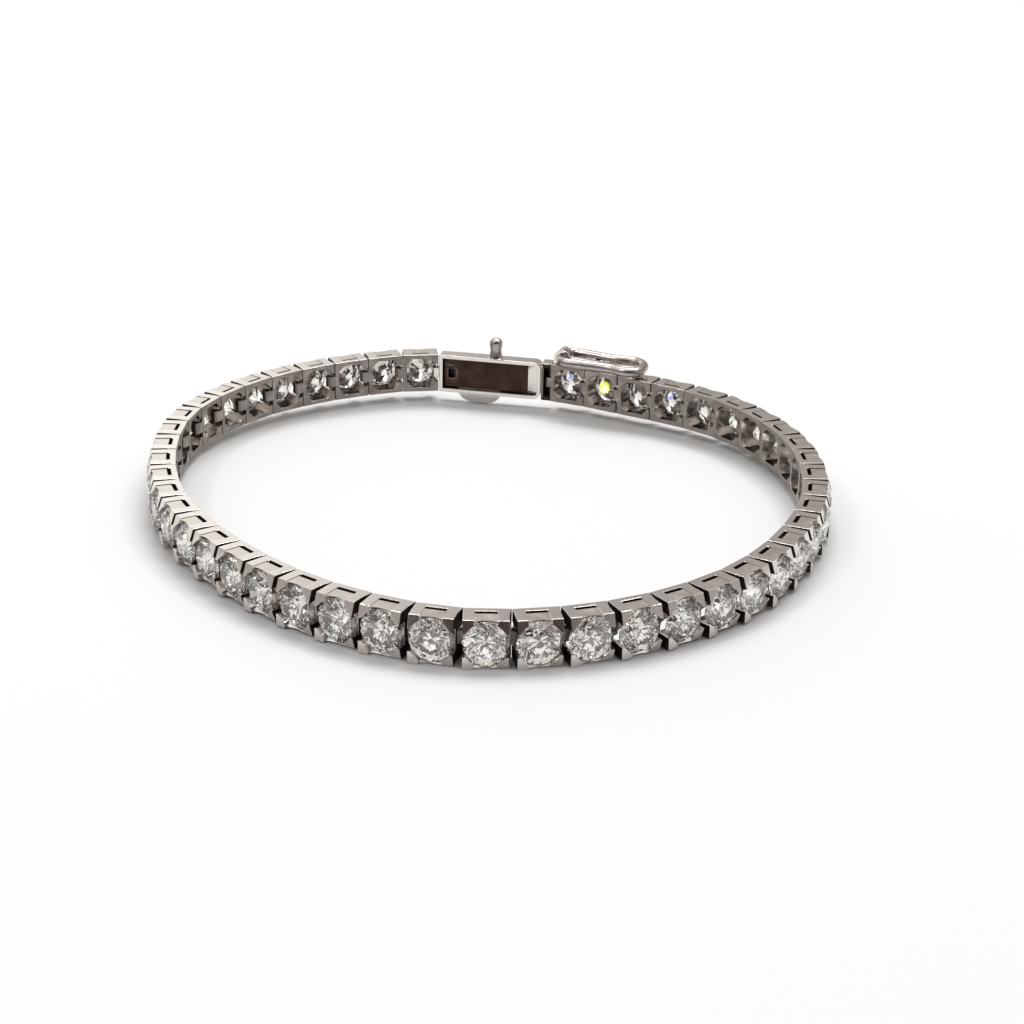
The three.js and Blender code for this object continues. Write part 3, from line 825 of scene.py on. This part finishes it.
def tongue_finish(centre, normal):
    """Painted shade inside the fork, on the blade and on the eyelet's face, and polished elsewhere."""
    if centre.x < WEB_START + NEAR:
        inside = abs(centre.y) < LINK_HALF_HEIGHT - OVERLAP and centre.z < CLASP_DEPTH - OVERLAP
        return painted_recess_shade if inside else gold
    if centre.x < BLADE_SHADE_FROM:
        return gold
    return painted_shade if abs(centre.y) < TONGUE_HALF - HAIR and abs(normal.z) > FACING else gold


tongue_model = polish(soften(tongue(), TONGUE_EDGE, CLASP_EDGE_STEPS))
only(tongue_model)
bpy.ops.object.mode_set(mode="EDIT")
bpy.ops.mesh.select_all(action="SELECT")
bpy.ops.mesh.bisect(plane_co=(0, -TONGUE_HALF, 0), plane_no=(0, 1, 0))
bpy.ops.mesh.select_all(action="SELECT")
bpy.ops.mesh.bisect(plane_co=(BLADE_SHADE_FROM, 0, 0), plane_no=(1, 0, 0))
bpy.ops.object.mode_set(mode="OBJECT")
finish(tongue_model, tongue_finish, gold, painted_shade, painted_recess_shade)
lay(tongue_model, "tongue_and_tab", clasp_frame, "root", "white_gold", "clasp_tongue")
bpy.data.objects.remove(tongue_model)

# The safety catch is one round wire bent to a waisted loop and soldered shut, drawn here a
# little thicker than in the solid. Its short straight end turns in the barrel, and the far end
# snaps over the ball of the post.
CATCH_LENGTH = 8.05
CATCH_HALF_WIDTH = 1.7
CATCH_CORNER = 0.75
CATCH_CORNER_STEPS = 10
CATCH_END_CORNER = 1.35
CATCH_END_STEPS = 14
CATCH_WAIST = 0.25
CATCH_WAIST_AT = 5
CATCH_SIDE_CUTS = 22
WIRE_ROUNDING = 6


def catch_loop():
    """The closed wire, with the middle of its hinge at the origin."""
    bpy.ops.object.select_all(action="DESELECT")
    bpy.ops.mesh.primitive_plane_add(size=1)
    piece = bpy.context.object
    piece.location = (-CATCH_LENGTH / 2, 0, 0)
    piece.scale = (CATCH_LENGTH, 2 * CATCH_HALF_WIDTH, 1)
    bpy.ops.object.transform_apply()
    hinge_end = (0, CATCH_CORNER, CATCH_CORNER_STEPS)
    far_end = (-CATCH_LENGTH, CATCH_END_CORNER, CATCH_END_STEPS)
    for end, radius, steps in (hinge_end, far_end):
        bpy.ops.object.mode_set(mode="EDIT")
        bpy.ops.mesh.select_mode(type="VERT")
        bpy.ops.mesh.select_all(action="DESELECT")
        bpy.ops.object.mode_set(mode="OBJECT")
        for corner in piece.data.vertices:
            at_end = abs(corner.co.x - end) < POINT
            corner.select = at_end and abs(corner.co.y) > CATCH_HALF_WIDTH - POINT
        bpy.ops.object.mode_set(mode="EDIT")
        bpy.ops.mesh.bevel(offset=radius, segments=steps, affect="VERTICES")
        bpy.ops.object.mode_set(mode="OBJECT")
    bpy.ops.object.mode_set(mode="EDIT")
    bpy.ops.mesh.select_all(action="SELECT")
    bpy.ops.mesh.delete(type="ONLY_FACE")
    bpy.ops.object.mode_set(mode="OBJECT")
    open_edges(piece, lambda start, end: abs(start.x - end.x) > CATCH_LENGTH / 2)
    bpy.ops.mesh.subdivide(number_cuts=CATCH_SIDE_CUTS)
    bpy.ops.object.mode_set(mode="OBJECT")
    side_start, side_end = -CATCH_CORNER, -CATCH_LENGTH + CATCH_END_CORNER
    for point in piece.data.vertices:
        x, y = point.co.x, point.co.y
        if side_end < x < side_start:
            near = (side_start - x) / (side_start + CATCH_WAIST_AT)
            far = (x - side_end) / (-CATCH_WAIST_AT - side_end)
            part = min(near, far)
            y -= math.copysign(CATCH_WAIST * (3 - 2 * part) * part * part, y)
        point.co = (x, 0, y + x * math.tan(clasp_bend / 2))
    bpy.ops.object.convert(target="CURVE")
    wire = bpy.context.object
    wire.data.bevel_depth = WIRE_RADIUS
    wire.data.bevel_resolution = WIRE_ROUNDING
    bpy.ops.object.convert(target="MESH")
    bpy.ops.object.shade_smooth()
    return bpy.context.object


catch_model = catch_loop()
# The catch's darker gold is painted shade.
catch_model.data.materials.append(dulled_and_shaded)
lay(catch_model, "catch_loop", link_frames[-1] @ catch_frame, "catch", "white_gold", "safety_catch")
bpy.data.objects.remove(catch_model)

# The bracelet lies on a seamless white table, under a large soft light from above and behind.
# The room is pale, brightest at a window behind on the left, and dark behind the camera.
TABLE_SIZE = 8
TABLE_WHITE = (0.65, 0.648, 0.646, 1)
TABLE_ROUGHNESS = 0.6
TABLE_GLOSS = 0.2
bpy.ops.mesh.primitive_plane_add(size=TABLE_SIZE)
table = bpy.context.object
table.name = "table"
white = bpy.data.materials.new("table_white")
white.use_nodes = True
paper = white.node_tree.nodes["Principled BSDF"]
paper.inputs["Base Color"].default_value = TABLE_WHITE
paper.inputs["Roughness"].default_value = TABLE_ROUGHNESS
paper.inputs["Specular IOR Level"].default_value = TABLE_GLOSS
table.data.materials.append(white)
table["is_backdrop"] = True

ROOM_LOW = (0.44, 0.41, 0.39, 1)
# Each zone of the room: its direction, the cosines where it starts and is full, and its colour.
ROOM_ZONES = (
    ((0, 0, 1), 0.4, 0.85, (1.1, 1.09, 1.08, 1)),
    ((-0.45, 0.85, 0.33), 0.88, 0.98, (1.35, 1.34, 1.3, 1)),
    ((0, -0.95, 0.31), 0.66, 0.93, (0.075, 0.058, 0.052, 1)),
)
room = bpy.data.worlds.new("room")
bpy.context.scene.world = room
room.use_nodes = True
nodes, links = room.node_tree.nodes, room.node_tree.links
way = nodes.new("ShaderNodeTexCoord")
walls = None
for direction, start, full, colour in ROOM_ZONES:
    toward = nodes.new("ShaderNodeVectorMath")
    toward.operation = "DOT_PRODUCT"
    toward.inputs[1].default_value = Vector(direction).normalized()
    spread = nodes.new("ShaderNodeMapRange")
    spread.interpolation_type = "SMOOTHSTEP"
    spread.inputs["From Min"].default_value = start
    spread.inputs["From Max"].default_value = full
    blend = nodes.new("ShaderNodeMix")
    blend.data_type = "RGBA"
    blend.inputs[MIX_FROM].default_value = ROOM_LOW
    blend.inputs[MIX_TO].default_value = colour
    links.new(way.outputs["Generated"], toward.inputs[0])
    links.new(toward.outputs["Value"], spread.inputs["Value"])
    links.new(spread.outputs["Result"], blend.inputs[MIX_SHARE])
    if walls:
        links.new(walls, blend.inputs[MIX_FROM])
    walls = blend.outputs[MIX_RESULT]
links.new(walls, nodes["Background"].inputs["Color"])
nodes["Background"].inputs["Strength"].default_value = 1

# Each lamp is aimed at the middle of the table: its place and size in metres, and its watts.
LAMPS = {
    "overhead": ((0.08, 0.5, 1.0), (0.6, 0.42), 8.5),
    "spark_left": ((-0.24, -0.1, 0.36), (0.05, 0.05), 0.22),
    "spark_right": ((0.2, 0.12, 0.42), (0.06, 0.04), 0.25),
}
for name, (at, size, watts) in LAMPS.items():
    bpy.ops.object.light_add(type="AREA", location=at)
    lamp = bpy.context.object
    lamp.name = name
    lamp.data.shape = "RECTANGLE"
    lamp.data.size, lamp.data.size_y = size
    lamp.data.energy = watts
    lamp.rotation_euler = (-Vector(at)).to_track_quat("-Z", "Y").to_euler()

# The photo was taken from in front and a little above, with a long lens. The camera's place and
# lens are in millimetres, and its angles in degrees.
CAMERA_AT = (1.38, -161.36, 62.90)
CAMERA_DOWN = 21.36
CAMERA_ROLL = 1.13
CAMERA_TURN = -0.32
CAMERA_LENS = 70.96
CAMERA_SENSOR = 36
CAMERA_NEAREST = 0.01
bpy.ops.object.camera_add()
camera = bpy.context.object
camera.data.lens = CAMERA_LENS
camera.data.sensor_width = CAMERA_SENSOR
camera.data.clip_start = CAMERA_NEAREST
camera.matrix_world = (
    Matrix.Translation(Vector(CAMERA_AT) * MM)
    @ Matrix.Rotation(math.radians(CAMERA_TURN), 4, "Z")
    @ Matrix.Rotation(math.radians(90 - CAMERA_DOWN), 4, "X")
    @ Matrix.Rotation(math.radians(CAMERA_ROLL), 4, "Z")
)
scene = bpy.context.scene
scene.camera = camera
scene.view_settings.view_transform = "Standard"
scene.view_settings.look = "None"

low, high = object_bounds()
